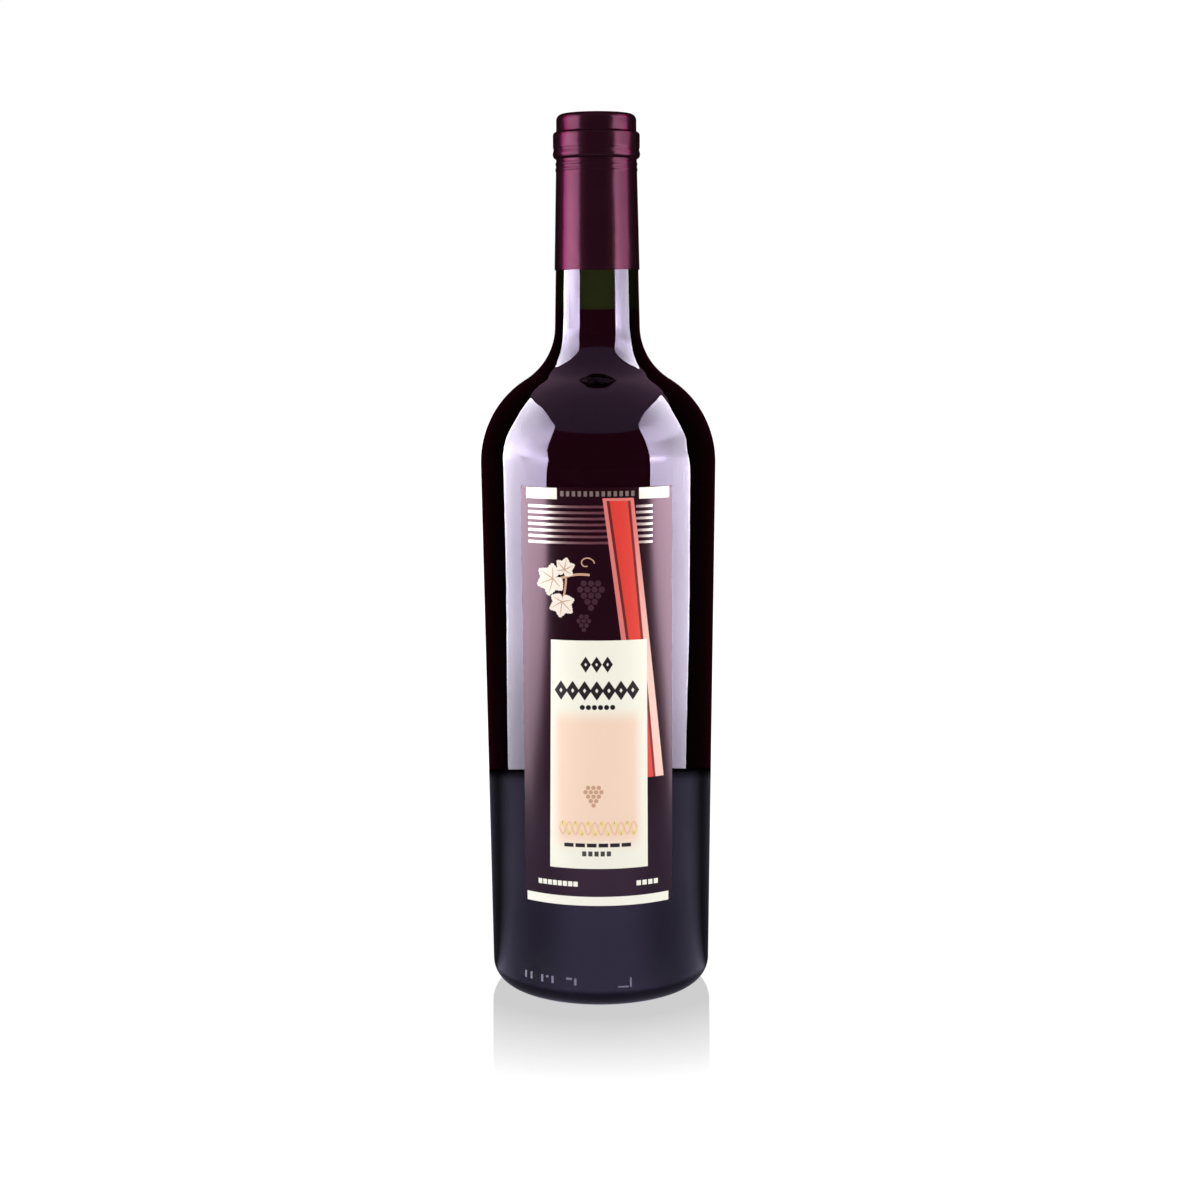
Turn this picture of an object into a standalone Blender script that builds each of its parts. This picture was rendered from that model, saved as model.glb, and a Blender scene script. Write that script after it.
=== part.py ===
# Wine bottle of tapered bordeaux shape, full and shut, with its capsule and front label.
# Sizes are in metres, +Z is up, and the origin is on the floor at the centre of the foot.
# The label faces -Y.

from math import asin, atan, atan2, cos, hypot, pi, radians, sin, sqrt

import bmesh
import bpy
from mathutils import Vector

# Outer form of the glass
HEIGHT = 0.3000
BODY_RADIUS = 0.0403
SHOULDER_HEIGHT = 0.1830
SHOULDER_RADIUS = 0.0338
NECK_CURVE_RADIUS = 0.0208
NECK_RADIUS = 0.01405
NECK_TAPER = 0.0226
FOOT_RADIUS = 0.0380
HEEL_RADIUS = 0.0080
BEARING_WIDTH = 0.0020

# Mouth of the glass, under the capsule
LIP_RADIUS = 0.0131
LIP_ROUNDING = 0.0018
RING_RADIUS = 0.01425
RING_TOP = 0.2936
RING_BOTTOM = 0.2862
RING_ROUNDING = 0.0007
MOUTH_ROUNDING = 0.0010

# Inside of the glass
WALL = 0.0037
PUNT_DEPTH = 0.0250
BASE_THICKNESS = 0.0040
TROUGH_RADIUS = 0.0019
TROUGH_HEIGHT = 0.0080

# Level of the wine in the neck
FILL_HEIGHT = 0.2345

# Capsule, a thin sleeve with a closed top
CAPSULE_EDGE = 0.2482
CAPSULE_WALL = 0.00015

# Front label, its left and right edges measured round the glass from its middle
LABEL_LEFT = -0.0275
LABEL_RIGHT = 0.0260
LABEL_BOTTOM = 0.0365
LABEL_TOP = 0.1775
LABEL_THICKNESS = 0.00015

# Play between pieces that touch
GAP = 0.00025

# Number of flat sides round the bottle, and of straight steps along its curves
SIDES = 48
LONG_CURVE_STEPS = 8
SHORT_CURVE_STEPS = 4
ROUNDING_STEPS = 2
LABEL_COLUMNS = 16
LABEL_ROWS = 3
SHARP_ANGLE = radians(40)

GLASS_TOP = HEIGHT - CAPSULE_WALL - GAP
NECK_LEAN = atan(NECK_TAPER)
HEEL_CENTRE = Vector((FOOT_RADIUS - HEEL_RADIUS, HEEL_RADIUS))
SHOULDER_CENTRE = Vector((BODY_RADIUS - SHOULDER_RADIUS, SHOULDER_HEIGHT))


def wall_lean():
    """Angle of the side wall's outward normal, a little below level because the body widens upwards."""
    across, up = SHOULDER_CENTRE - HEEL_CENTRE
    return asin((HEEL_RADIUS - SHOULDER_RADIUS) / hypot(across, up)) - atan2(across, up)


WALL_LEAN = wall_lean()


def wall_radius(height, inset=0.0):
    """Radius of the straight side wall at a height, moved in by inset."""
    normal = Vector((cos(WALL_LEAN), sin(WALL_LEAN)))
    distance = HEEL_CENTRE.dot(normal) + HEEL_RADIUS - inset
    return (distance - height * normal.y) / normal.x


def neck_radius(height, inset=0.0):
    """Radius of the straight neck at a height, moved in by inset."""
    return NECK_RADIUS - NECK_TAPER * (height - CAPSULE_EDGE) - inset / cos(NECK_LEAN)


def neck_curve_centre():
    """Centre of the hollow curve that touches both the shoulder and the straight neck."""
    normal = Vector((cos(NECK_LEAN), sin(NECK_LEAN)))
    upwards = Vector((-sin(NECK_LEAN), cos(NECK_LEAN)))
    start = Vector((NECK_RADIUS, CAPSULE_EDGE)) + NECK_CURVE_RADIUS * normal
    offset = start - SHOULDER_CENTRE
    along = offset.dot(upwards)
    reach = SHOULDER_RADIUS + NECK_CURVE_RADIUS
    run = sqrt(along ** 2 - offset.length_squared + reach ** 2) - along
    return start + run * upwards


def arc(centre, radius, start, end, steps):
    """Points of an arc in the plane of radius and height, from one angle to another."""
    angles = [start + (end - start) * step / steps for step in range(steps + 1)]
    return [(centre[0] + radius * cos(angle), centre[1] + radius * sin(angle)) for angle in angles]


def shoulder_points(inset):
    """Points from the top of the side wall over the shoulder to the foot of the neck."""
    neck_centre = neck_curve_centre()
    across, up = neck_centre - SHOULDER_CENTRE
    join = atan2(up, across)
    bulge = arc(SHOULDER_CENTRE, SHOULDER_RADIUS - inset, WALL_LEAN, join, LONG_CURVE_STEPS)
    hollow = arc(neck_centre, NECK_CURVE_RADIUS + inset, join + pi, pi + NECK_LEAN, LONG_CURVE_STEPS)
    return bulge + hollow[1:]


def finish_points(outset):
    """Points down the outside of the lip and ring to the neck, moved out by outset."""
    lip_centre = (LIP_RADIUS - LIP_ROUNDING, GLASS_TOP - LIP_ROUNDING)
    ring_centre_radius = RING_RADIUS - RING_ROUNDING
    ring_upper_centre = (ring_centre_radius, RING_TOP - RING_ROUNDING)
    ring_lower_centre = (ring_centre_radius, RING_BOTTOM + RING_ROUNDING)
    lip = arc(lip_centre, LIP_ROUNDING + outset, pi / 2, 0, SHORT_CURVE_STEPS)
    lip_foot = [(LIP_RADIUS + outset, RING_TOP + outset)]
    ring_upper = arc(ring_upper_centre, RING_ROUNDING + outset, pi / 2, 0, ROUNDING_STEPS)
    ring_lower = arc(ring_lower_centre, RING_ROUNDING + outset, 0, -pi / 2, ROUNDING_STEPS)
    neck_top = [(neck_radius(RING_BOTTOM) + outset, RING_BOTTOM - outset)]
    return lip + lip_foot + ring_upper + ring_lower + neck_top


def inside_points(inset):
    """Points from the middle of the bottle's floor out through its trough and up to the neck."""
    play = inset - WALL
    trough_centre = (wall_radius(TROUGH_HEIGHT, WALL + TROUGH_RADIUS), TROUGH_HEIGHT)
    trough = arc(trough_centre, TROUGH_RADIUS - play, pi, 2 * pi + WALL_LEAN, SHORT_CURVE_STEPS)
    dome_height = PUNT_DEPTH + BASE_THICKNESS + play
    dome_foot = asin(TROUGH_HEIGHT / dome_height)
    dome_radius = trough[0][0] / cos(dome_foot)
    dome = []
    for step in range(SHORT_CURVE_STEPS + 1):
        angle = pi / 2 + (dome_foot - pi / 2) * step / (SHORT_CURVE_STEPS + 1)
        dome.append((dome_radius * cos(angle), dome_height * sin(angle)))
    return dome + trough + shoulder_points(inset)


def punt_points():
    """Points from the bearing ring up the hollow under the foot to its middle."""
    punt_radius = HEEL_CENTRE.x - BEARING_WIDTH
    angles = [pi / 2 * step / (SHORT_CURVE_STEPS + 1) for step in range(SHORT_CURVE_STEPS + 2)]
    return [(punt_radius * cos(angle), PUNT_DEPTH * sin(angle)) for angle in angles]


def turn(name, points, finish):
    """A closed solid turned round the Z axis from points that run down its outer side."""
    shape = bmesh.new()
    corners = [shape.verts.new((radius, 0.0, height)) for radius, height in points]
    for upper, lower in zip(corners, corners[1:]):
        shape.edges.new((upper, lower))
    outline = shape.verts[:] + shape.edges[:]
    bmesh.ops.spin(shape, geom=outline, axis=(0, 0, 1), cent=(0, 0, 0), angle=2 * pi, steps=SIDES)
    bmesh.ops.remove_doubles(shape, verts=shape.verts[:], dist=GAP / 100)
    bmesh.ops.recalc_face_normals(shape, faces=shape.faces[:])
    return finished(name, shape, finish)


def finished(name, shape, finish):
    """An object made from a bmesh, shaded smooth except at its sharp edges."""
    mesh = bpy.data.meshes.new(name)
    shape.to_mesh(mesh)
    shape.free()
    mesh.shade_smooth()
    mesh.set_sharp_from_angle(angle=SHARP_ANGLE)
    mesh.materials.append(finish)
    made = bpy.data.objects.new(name, mesh)
    bpy.context.scene.collection.objects.link(made)
    return made


def finish_material(name, colour, roughness, metallic=0.0, transmission=0.0):
    """A Principled material of one colour."""
    made = bpy.data.materials.new(name)
    made.use_nodes = True
    shader = made.node_tree.nodes["Principled BSDF"]
    shader.inputs["Base Color"].default_value = (*colour, 1.0)
    shader.inputs["Roughness"].default_value = roughness
    shader.inputs["Metallic"].default_value = metallic
    shader.inputs["Transmission Weight"].default_value = transmission
    made.diffuse_color = (*colour, 1.0)
    return made


def make_glass():
    """The bottle itself: one wall from the mouth over the shoulder, heel and punt, and back inside."""
    mouth_radius = neck_radius(GLASS_TOP, WALL)
    mouth_centre = (mouth_radius + MOUTH_ROUNDING, GLASS_TOP - MOUTH_ROUNDING)
    mouth = arc(mouth_centre, MOUTH_ROUNDING, pi, pi / 2, ROUNDING_STEPS)
    shoulder = shoulder_points(0.0)[::-1]
    heel = arc(HEEL_CENTRE, HEEL_RADIUS, WALL_LEAN, -pi / 2, SHORT_CURVE_STEPS + 1)
    points = inside_points(WALL) + mouth + finish_points(0.0) + shoulder + heel + punt_points()
    green = finish_material("dark_green_glass", (0.035, 0.06, 0.02), 0.03, transmission=0.9)
    return turn("glass_bottle", points, green)


def make_wine():
    """The wine, which fills the bottle up to its level in the neck."""
    inset = WALL + GAP
    surface = [(0.0, FILL_HEIGHT), (neck_radius(FILL_HEIGHT, inset), FILL_HEIGHT)]
    points = surface + inside_points(inset)[::-1]
    red = finish_material("red_wine", (0.06, 0.004, 0.01), 0.02, transmission=0.6)
    return turn("wine", points, red)


def make_capsule():
    """The thin sleeve drawn down over the mouth and the upper neck."""
    inner_radius = neck_radius(CAPSULE_EDGE) + GAP
    outside = [(0.0, GLASS_TOP + GAP + CAPSULE_WALL)] + finish_points(GAP + CAPSULE_WALL)
    inside = [(0.0, GLASS_TOP + GAP)] + finish_points(GAP)
    edge = [(inner_radius + CAPSULE_WALL, CAPSULE_EDGE), (inner_radius, CAPSULE_EDGE)]
    plum = finish_material("plum_foil", (0.09, 0.012, 0.045), 0.32, metallic=0.5)
    return turn("capsule", outside + edge + inside[::-1], plum)


def make_label():
    """The front label, a sheet that lies round the tapered side wall."""
    shape = bmesh.new()
    bmesh.ops.create_grid(shape, x_segments=LABEL_COLUMNS, y_segments=LABEL_ROWS, size=0.5)
    for corner in shape.verts:
        along = LABEL_LEFT + (LABEL_RIGHT - LABEL_LEFT) * (corner.co.x + 0.5)
        height = LABEL_BOTTOM + (LABEL_TOP - LABEL_BOTTOM) * (corner.co.y + 0.5)
        radius = wall_radius(height) + GAP
        turned = along / radius
        corner.co = (radius * sin(turned), -radius * cos(turned), height)
    bmesh.ops.recalc_face_normals(shape, faces=shape.faces[:])
    dark = finish_material("dark_label_paper", (0.012, 0.008, 0.012), 0.45)
    label = finished("front_label", shape, dark)
    thickness = label.modifiers.new("thickness", 'SOLIDIFY')
    thickness.thickness = LABEL_THICKNESS
    thickness.offset = 1.0
    return label


def clear_scene():
    """Start from an empty scene."""
    for old in list(bpy.data.objects):
        bpy.data.objects.remove(old, do_unlink=True)


clear_scene()
make_glass()
make_wine()
make_capsule()
make_label()
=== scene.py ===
from math import asin, atan, atan2, cos, hypot, pi, radians, sin, sqrt, tan

import bmesh
import bpy
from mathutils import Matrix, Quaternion, Vector


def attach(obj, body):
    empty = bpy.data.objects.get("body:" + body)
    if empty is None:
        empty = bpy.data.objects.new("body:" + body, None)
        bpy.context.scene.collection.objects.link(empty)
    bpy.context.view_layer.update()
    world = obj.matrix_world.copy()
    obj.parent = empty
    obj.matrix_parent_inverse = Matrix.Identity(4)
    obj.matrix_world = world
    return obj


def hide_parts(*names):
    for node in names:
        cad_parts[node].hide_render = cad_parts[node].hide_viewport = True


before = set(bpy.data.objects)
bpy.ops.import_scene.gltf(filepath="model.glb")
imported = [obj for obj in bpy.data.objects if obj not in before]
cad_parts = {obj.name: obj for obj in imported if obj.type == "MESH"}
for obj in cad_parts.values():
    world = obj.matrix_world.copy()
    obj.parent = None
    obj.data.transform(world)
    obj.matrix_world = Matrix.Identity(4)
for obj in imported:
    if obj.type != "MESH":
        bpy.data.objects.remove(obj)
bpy.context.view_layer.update()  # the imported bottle: glass_bottle, wine, capsule, front_label
scene = bpy.context.scene
scene.view_settings.view_transform = "Standard"
mm = 0.001


# Small helpers shared by all pieces

def shares(steps):  # evenly from 0 to 1
    return [step / steps for step in range(steps + 1)]


def hexColour(code):  # sRGB hex to linear colour
    parts = [int(code[i:i + 2], 16) / 255 for i in (0, 2, 4)]
    return tuple(p / 12.92 if p <= 0.04045 else ((p + 0.055) / 1.055) ** 2.4 for p in parts) + (1.0,)


def link(node, links):  # a node given as the source stands for its first output
    for socket, source in links.items():
        source = source.outputs[0] if isinstance(source, bpy.types.Node) else source
        node.id_data.links.new(source, node.inputs[socket])


def setValues(node, values):  # a text value is a hex colour
    for socket, value in values.items():
        node.inputs[socket].default_value = hexColour(value) if isinstance(value, str) else value


def addNode(tree, kind, values=None, links=None, **settings):  # one node with its settings and links
    node = tree.nodes.new(kind)
    for name, value in settings.items():
        setattr(node, name, value)
    setValues(node, values or {})
    link(node, links or {})
    return node


smooth = {"interpolation_type": "SMOOTHSTEP"}


def span(*values):  # what a Map Range reads, from and to, and what it gives at both
    return dict(zip(("From Min", "From Max", "To Min", "To Max"), values))


def startMaterial(name, values):  # a Principled material, its tree and its shader
    made = bpy.data.materials.new(name)
    made.use_nodes = True
    shader = made.node_tree.nodes["Principled BSDF"]
    setValues(shader, values)
    return made, made.node_tree, shader


def startTree(name, inputs):  # a Geometry Nodes tree with named inputs
    tree = bpy.data.node_groups.new(name, "GeometryNodeTree")
    tree.interface.new_socket("Geometry", in_out="INPUT", socket_type="NodeSocketGeometry")
    for label, kind in inputs.items():
        tree.interface.new_socket(label, in_out="INPUT", socket_type="NodeSocket" + kind)
    tree.interface.new_socket("Geometry", in_out="OUTPUT", socket_type="NodeSocketGeometry")
    return tree, tree.nodes.new("NodeGroupInput").outputs


def endTree(tree, geometry, finish):  # every tree ends in real geometry with its material
    real = addNode(tree, "GeometryNodeRealizeInstances", links={"Geometry": geometry})
    painted = addNode(tree, "GeometryNodeSetMaterial", links={"Geometry": real, "Material": finish})
    addNode(tree, "NodeGroupOutput", links={"Geometry": painted})


def meshObject(name, points, edges=(), faces=()):
    mesh = bpy.data.meshes.new(name)
    mesh.from_pydata([tuple(p) for p in points], edges, faces)
    made = bpy.data.objects.new(name, mesh)
    scene.collection.objects.link(made)
    return made


def makePlain(piece, tree, values):  # run a tree on a piece and keep its result as a plain mesh
    modifier = piece.modifiers.new(tree.name, "NODES")
    modifier.node_group = tree
    for item in tree.interface.items_tree:
        if item.in_out == "INPUT" and item.name in values:
            modifier[item.identifier] = values[item.name]
    graph = bpy.context.evaluated_depsgraph_get()
    piece.data = bpy.data.meshes.new_from_object(piece.evaluated_get(graph))
    piece.modifiers.clear()
    shape = bmesh.new()
    shape.from_mesh(piece.data)
    bmesh.ops.recalc_face_normals(shape, faces=shape.faces[:])
    shape.to_mesh(piece.data)
    shape.free()
    piece.data.shade_smooth()
    piece.data.set_sharp_from_angle(angle=radians(40))
    return piece


def finishPiece(piece, node=None):
    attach(piece, "root")
    if node:
        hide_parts(node)


# Outline of the bottle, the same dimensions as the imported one

form = {
    "height": 300.0 * mm,
    "bodyRadius": 40.3 * mm, "shoulderHeight": 183.0 * mm,
    "shoulderRadius": 33.8 * mm, "neckCurve": 20.8 * mm,
    "neckRadius": 14.05 * mm, "neckTaper": 0.0226,
    "footRadius": 38.0 * mm, "heelRadius": 8.0 * mm,
    "bearingWidth": 2.0 * mm,
    "lipRadius": 13.1 * mm, "lipRounding": 1.8 * mm,
    "ringRadius": 14.25 * mm,
    "ringTop": 293.6 * mm, "ringBottom": 286.2 * mm,
    "ringRounding": 0.7 * mm, "mouthRounding": 1.0 * mm,
    "wall": 3.7 * mm,
    "puntDepth": 25.0 * mm, "baseThickness": 4.0 * mm,
    "troughRadius": 1.9 * mm, "troughHeight": 8.0 * mm,
    "fillHeight": 234.5 * mm,
    "capsuleEdge": 248.2 * mm,
    "capsuleWall": 0.15 * mm,
    "gap": 0.25 * mm,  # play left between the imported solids
    "topPlay": 0.002 * mm,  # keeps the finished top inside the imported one
    "sides": 160,
}

glassTop = form["height"] - form["capsuleWall"] - form["gap"] - form["topPlay"]
lipCentre = (form["lipRadius"] - form["lipRounding"], glassTop - form["lipRounding"])
ringX = form["ringRadius"] - form["ringRounding"]
neckLean = atan(form["neckTaper"])
heelCentre = Vector((form["footRadius"] - form["heelRadius"], form["heelRadius"]))
shoulderCentre = Vector((form["bodyRadius"] - form["shoulderRadius"], form["shoulderHeight"]))
across, up = shoulderCentre - heelCentre
wallLean = asin((form["heelRadius"] - form["shoulderRadius"]) / hypot(across, up)) - atan2(across, up)


def wallRadius(height, inset=0.0):
    distance = heelCentre.dot(Vector((cos(wallLean), sin(wallLean)))) + form["heelRadius"] - inset
    return (distance - height * sin(wallLean)) / cos(wallLean)


def neckRadius(height, inset=0.0):
    return form["neckRadius"] - form["neckTaper"] * (height - form["capsuleEdge"]) - inset / cos(neckLean)


def neckCurveCentre():  # touches both the shoulder's arc and the straight neck
    upwards = Vector((-sin(neckLean), cos(neckLean)))
    start = Vector((form["neckRadius"], form["capsuleEdge"]))
    start += form["neckCurve"] * Vector((cos(neckLean), sin(neckLean)))
    offset = start - shoulderCentre
    along = offset.dot(upwards)
    reach = form["shoulderRadius"] + form["neckCurve"]
    return start + (sqrt(along ** 2 - offset.length_squared + reach ** 2) - along) * upwards


def arc(centre, radius, start, end, steps):
    angles = [start + (end - start) * step / steps for step in range(steps + 1)]
    return [(centre[0] + radius * cos(a), centre[1] + radius * sin(a)) for a in angles]


def shoulderPoints(inset):
    neckCentre = neckCurveCentre()
    across, up = neckCentre - shoulderCentre
    join = atan2(up, across)
    bulge = arc(shoulderCentre, form["shoulderRadius"] - inset, wallLean, join, 26)
    hollow = arc(neckCentre, form["neckCurve"] + inset, join + pi, pi + neckLean, 20)
    return bulge + hollow[1:]


def insidePoints(inset):
    play = inset - form["wall"]
    troughX = wallRadius(form["troughHeight"], form["wall"] + form["troughRadius"])
    trough = arc((troughX, form["troughHeight"]), form["troughRadius"] - play, pi, 2 * pi + wallLean, 12)
    domeHeight = form["puntDepth"] + form["baseThickness"] + play
    domeFoot = asin(form["troughHeight"] / domeHeight)
    domeRadius = trough[0][0] / cos(domeFoot)
    angles = [pi / 2 + (domeFoot - pi / 2) * step / 14 for step in range(14)]
    dome = [(domeRadius * cos(a), domeHeight * sin(a)) for a in angles]
    return dome + trough + shoulderPoints(inset)


def puntPoints():
    puntRadius = heelCentre.x - form["bearingWidth"]
    angles = [pi / 2 * step / 16 for step in range(17)]
    return [(puntRadius * cos(a), form["puntDepth"] * sin(a)) for a in angles]


# Turning: an outline is carried round the axis, one column of points for each side

turnWeld = 0.002 * mm  # points nearer than this become one


def makeTurningTree():
    tree, given = startTree("turnOutline", {"Sides": "Int", "Finish": "Material"})
    size = addNode(tree, "GeometryNodeAttributeDomainSize", component="MESH", links={0: given["Geometry"]})
    rows = size.outputs["Point Count"]
    columns = addNode(tree, "ShaderNodeMath", {1: 1.0}, {0: given["Sides"]}, operation="ADD")
    grid = addNode(tree, "GeometryNodeMeshGrid", links={"Vertices X": columns, "Vertices Y": rows})
    index = addNode(tree, "GeometryNodeInputIndex")
    row = addNode(tree, "ShaderNodeMath", links={0: index, 1: rows}, operation="MODULO")
    ratio = addNode(tree, "ShaderNodeMath", links={0: index, 1: rows}, operation="DIVIDE")
    column = addNode(tree, "ShaderNodeMath", links={0: ratio}, operation="FLOOR")
    part = addNode(tree, "ShaderNodeMath", links={0: column, 1: given["Sides"]}, operation="DIVIDE")
    angle = addNode(tree, "ShaderNodeMath", {1: 2 * pi}, {0: part}, operation="MULTIPLY")
    place = addNode(tree, "GeometryNodeInputPosition")
    onOutline = addNode(tree, "GeometryNodeSampleIndex", data_type="FLOAT_VECTOR",
                        links={"Geometry": given["Geometry"], "Value": place, "Index": row})
    turned = addNode(tree, "ShaderNodeVectorRotate", rotation_type="Z_AXIS",
                     links={"Vector": onOutline, "Angle": angle})
    moved = addNode(tree, "GeometryNodeSetPosition",
                    links={"Geometry": grid.outputs["Mesh"], "Position": turned})
    closed = addNode(tree, "GeometryNodeMergeByDistance", {"Distance": turnWeld}, {"Geometry": moved})
    endTree(tree, closed, given["Finish"])
    return tree


turningTree = makeTurningTree()


def turnPiece(name, outline, finish):
    points = [(radius, 0.0, height) for radius, height in outline]
    edges = [(i, i + 1) for i in range(len(points) - 1)]
    piece = meshObject(name, points, edges)
    return makePlain(piece, turningTree, {"Sides": form["sides"], "Finish": finish})


# Bottle glass: dark green soda-lime glass, blown in a mould, so it is clear, very smooth and faintly rippled

glassLook = {
    "tint": "CFC0E2",  # tint of its mirror reflections
    "ior": 1.52,
    "absorbColour": (0.22, 0.395, 0.054),
    "absorbDensity": 900.0,  # per metre: two 3.7 mm walls let only one or two per cent through
    "rippleSize": 14.0,  # mm
    "rippleHeight": 0.012,  # mm
}


def startClear(name, look):  # a clear material whose colour deepens with its thickness
    made, tree, shader = startMaterial(name, {
        "Base Color": (1, 1, 1, 1), "Roughness": 0.0, "IOR": look["ior"], "Transmission Weight": 1.0})
    absorb = addNode(tree, "ShaderNodeVolumeAbsorption",
                     {"Color": (*look["absorbColour"], 1), "Density": look["absorbDensity"]})
    link(tree.nodes["Material Output"], {"Volume": absorb})
    return made, tree, shader


def makeBottleGlass():
    made, tree, shader = startClear("mouldedGreenGlass", glassLook)
    setValues(shader, {"Specular Tint": glassLook["tint"]})
    place = addNode(tree, "ShaderNodeTexCoord")
    ripple = addNode(tree, "ShaderNodeTexNoise", {"Scale": 1 / (glassLook["rippleSize"] * mm), "Detail": 1.0},
                     {"Vector": place.outputs["Object"]})
    bump = addNode(tree, "ShaderNodeBump", {"Strength": 1.0, "Distance": glassLook["rippleHeight"] * mm},
                   {"Height": ripple})
    link(shader, {"Normal": bump})
    return made


def makeGlass():
    mouthRadius = neckRadius(glassTop, form["wall"])
    mouthCentre = (mouthRadius + form["mouthRounding"], glassTop - form["mouthRounding"])
    mouth = arc(mouthCentre, form["mouthRounding"], pi, pi / 2, 6)
    lip = arc(lipCentre, form["lipRounding"], pi / 2, 0, 8)
    bend = form["ringRounding"]
    ringUpper = arc((ringX, form["ringTop"] - bend), bend, pi / 2, 0, 5)
    ringLower = arc((ringX, form["ringBottom"] + bend), bend, 0, -pi / 2, 5)
    ring = [(form["lipRadius"], form["ringTop"])] + ringUpper + ringLower
    neckTop = [(neckRadius(form["ringBottom"]), form["ringBottom"])]
    heel = arc(heelCentre, form["heelRadius"], wallLean, -pi / 2, 14)
    outline = insidePoints(form["wall"]) + mouth + lip + ring + neckTop
    outline += shoulderPoints(0.0)[::-1] + heel + puntPoints()
    finishPiece(turnPiece("greenGlass", outline, makeBottleGlass()), "glass_bottle")


# Red wine: dark and clear, black through the body and ruby only where it is thin

wineLook = {
    "ior": 1.34,
    "absorbColour": (0.55, 0.04, 0.06),
    "absorbDensity": 420.0,
    "reach": 0.05 * mm,  # how far it goes into the wall, so no air shows
    "meniscusHeight": 0.5 * mm,
    "meniscusWidth": 2.2 * mm,
}


def makeWine():
    inset = form["wall"] - wineLook["reach"]
    rim = neckRadius(form["fillHeight"], inset)
    width, rise = wineLook["meniscusWidth"], wineLook["meniscusHeight"]
    surface = [(0.0, form["fillHeight"])]
    surface += [(rim - width * (1 - t), form["fillHeight"] + rise * t ** 2.5) for t in shares(8)]
    outline = insidePoints(inset) + surface[::-1]
    finishPiece(turnPiece("redWine", outline, startClear("youngRedWine", wineLook)[0]), "wine")


# Capsule: plum shrink sleeve of PVC with metal flake in its lacquer, satin, with faint draw lines, soft dents
# and two ridges under the ring

capsuleLook = {
    "colour": "2F1722",
    "deepColour": "26121C",
    "edgeColour": "B45A82",  # tint of its reflections at a low angle
    "flake": 0.6,  # share of metal in the lacquer
    "roughness": 0.20,
    "roughSpread": 0.06,  # how far the draw lines change it
    "corner": ((0.0, 0.5 * mm), (0.15 * mm, 0.1 * mm)),  # out and up, where it bridges lip and ring
    "ridges": (283.4 * mm, 281.5 * mm),
    "ridgeHeight": 0.22 * mm, "ridgeWidth": 0.8 * mm,
    "ringGroove": 288.1 * mm, "grooveDepth": 0.22 * mm, "grooveWidth": 0.9 * mm,
    "ringBead": 286.5 * mm, "beadHeight": 0.14 * mm, "beadWidth": 0.8 * mm,
    "ringDrop": 0.7 * mm,  # the sleeve turns in a little below the glass ring
    "skirtStart": 0.2 * mm, "skirtStep": 0.25 * mm,  # rows of points under the ring
    "drawLine": 0.35,  # mm, fine lines left by shrinking it on
    "drawStretch": 14.0,  # how much longer than wide they are
    "drawDepth": 0.006 * mm,
    "dentSize": 9.0,  # mm
    "dentDepth": 0.24 * mm,
}


def makeCapsuleSkin():
    look = capsuleLook
    made, tree, shader = startMaterial("plumShrinkSleeve", {
        "Metallic": look["flake"], "Specular IOR Level": 0.0, "Specular Tint": look["edgeColour"]})
    place = addNode(tree, "ShaderNodeTexCoord").outputs["Object"]
    dents = addNode(tree, "ShaderNodeTexNoise", {"Scale": 1 / (look["dentSize"] * mm), "Detail": 3.0},
                    {"Vector": place})
    colour = addNode(tree, "ShaderNodeMix", {6: look["deepColour"], 7: look["colour"]},
                     {0: dents}, data_type="RGBA")
    stretch = look["drawStretch"]
    stretched = addNode(tree, "ShaderNodeMapping", {"Scale": (stretch, stretch, 1.0)}, {"Vector": place})
    lines = addNode(tree, "ShaderNodeTexNoise",
                    {"Scale": 1 / (look["drawLine"] * stretch * mm), "Detail": 2.0}, {"Vector": stretched})
    low, high = look["roughness"] - look["roughSpread"], look["roughness"] + look["roughSpread"]
    rough = addNode(tree, "ShaderNodeMapRange", span(0, 1, low, high), {"Value": lines})
    dent = addNode(tree, "ShaderNodeBump", {"Strength": 0.6, "Distance": look["dentDepth"]},
                   {"Height": dents})
    spun = addNode(tree, "ShaderNodeBump", {"Strength": 0.3, "Distance": look["drawDepth"]},
                   {"Height": lines, "Normal": dent})
    link(shader, {"Base Color": colour.outputs[2], "Roughness": rough, "Normal": spun})
    return made


def bumpAt(height, centre, width):  # a smooth hump, 1 at its centre and 0 beyond its width
    return cos((height - centre) / width * pi / 2) ** 2 if abs(height - centre) < width else 0.0


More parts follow.
